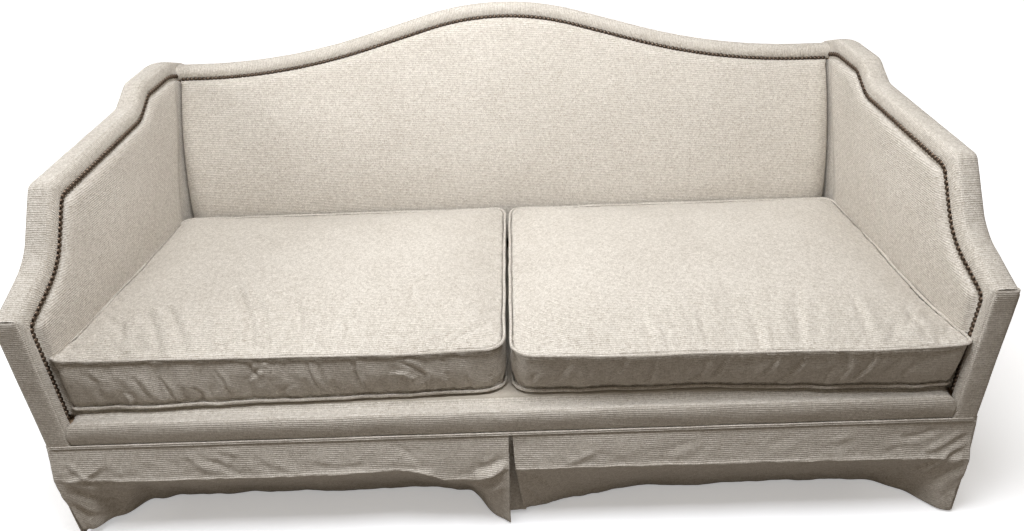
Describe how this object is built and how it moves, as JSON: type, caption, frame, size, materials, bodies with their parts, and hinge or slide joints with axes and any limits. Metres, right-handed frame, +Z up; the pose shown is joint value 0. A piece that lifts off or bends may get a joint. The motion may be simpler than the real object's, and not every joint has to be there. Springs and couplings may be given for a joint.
{
  "type": "camelback sofa",
  "caption": "Camelback sofa with shaped arms, nail-head trim, a tight raked back, loose seat cushions and a skirt with a centre kick pleat.",
  "frame": {"origin": "centre of the space the sofa takes up, on the floor", "axes": "+X along the sofa towards the right arm as seen from the front, +Y from the front to the back, +Z up"},
  "size_m": [2.072, 0.9967, 1.0281],
  "materials": {
    "upholstery_fabric": "ribbed oatmeal chenille weave",
    "frame_timber": "sawn hardwood, unfinished",
    "leg_wood": "dark satin stain",
    "glide_plastic": "matt nylon",
    "spring_steel": "drawn steel wire",
    "clip_metal": "zinc plated",
    "webbing": "woven jute and rubber",
    "hessian": "open plain weave",
    "deck_cloth": "plain woven deck cloth over wadding",
    "foam": "cushion foam wrapped in wadding",
    "dust_cloth": "black spun-bonded cloth",
    "nail_bronze": "dark antiqued bronze domes",
    "zip_tape": "woven tape with moulded teeth",
    "zip_metal": "antiqued die casting"
  },
  "bodies": {
    "sofa": {"front_seat_rail": "frame_timber", "rear_seat_rail": "frame_timber", "side_seat_rails": "frame_timber", "arm_tack_rails": "frame_timber", "seat_stretchers": "frame_timber", "corner_blocks": "frame_timber", "back_top_rail": "frame_timber", "back_lower_rail": "frame_timber", "back_uprights": "frame_timber", "centre_legs": "leg_wood", "glides": "glide_plastic", "seat_springs": "spring_steel", "spring_clips": "clip_metal", "back_webbing": "webbing", "seat_insulator": "hessian", "deck_pad": "deck_cloth", "front_border": "upholstery_fabric", "back_border": "upholstery_fabric", "inside_back": "upholstery_fabric", "outside_back": "upholstery_fabric", "back_nail_trim": "nail_bronze", "skirt_welt": "upholstery_fabric", "back_skirt": "upholstery_fabric", "pleat_backings": "upholstery_fabric", "dust_cover": "dust_cloth", "left_front_post": "frame_timber", "left_back_post": "frame_timber", "left_arm_top_rail": "frame_timber", "left_arm_border": "upholstery_fabric", "left_inside_arm": "upholstery_fabric", "left_outside_arm": "upholstery_fabric", "left_arm_front": "upholstery_fabric", "left_arm_nail_trim": "nail_bronze", "left_side_skirt": "upholstery_fabric", "left_front_skirt": "upholstery_fabric", "left_front_leg": "leg_wood", "left_rear_leg": "leg_wood", "right_front_post": "frame_timber", "right_back_post": "frame_timber", "right_arm_top_rail": "frame_timber", "right_arm_border": "upholstery_fabric", "right_inside_arm": "upholstery_fabric", "right_outside_arm": "upholstery_fabric", "right_arm_front": "upholstery_fabric", "right_arm_nail_trim": "nail_bronze", "right_side_skirt": "upholstery_fabric", "right_front_skirt": "upholstery_fabric", "right_front_leg": "leg_wood", "right_rear_leg": "leg_wood"},
    "left_cushion": {"left_cushion_cover": "upholstery_fabric", "left_cushion_foam": "foam", "left_cushion_welts": "upholstery_fabric", "left_cushion_zip": "zip_tape"},
    "left_slider": {"left_zip_slider": "zip_metal"},
    "right_cushion": {"right_cushion_cover": "upholstery_fabric", "right_cushion_foam": "foam", "right_cushion_welts": "upholstery_fabric", "right_cushion_zip": "zip_tape"},
    "right_slider": {"right_zip_slider": "zip_metal"}
  },
  "joints": [
    {"name": "left_cushion_lift", "type": "slide", "parent": "sofa", "child": "left_cushion", "axis": [0, 0, 1], "range_m": [0, 0.72]},
    {"name": "right_cushion_lift", "type": "slide", "parent": "sofa", "child": "right_cushion", "axis": [0, 0, 1], "range_m": [0, 0.72]},
    {"name": "left_zip_slide", "type": "slide", "parent": "left_cushion", "child": "left_slider", "axis": [1, 0, 0], "range_m": [0, 0.8]},
    {"name": "right_zip_slide", "type": "slide", "parent": "right_cushion", "child": "right_slider", "axis": [-1, 0, 0], "range_m": [0, 0.8]}
  ]
}
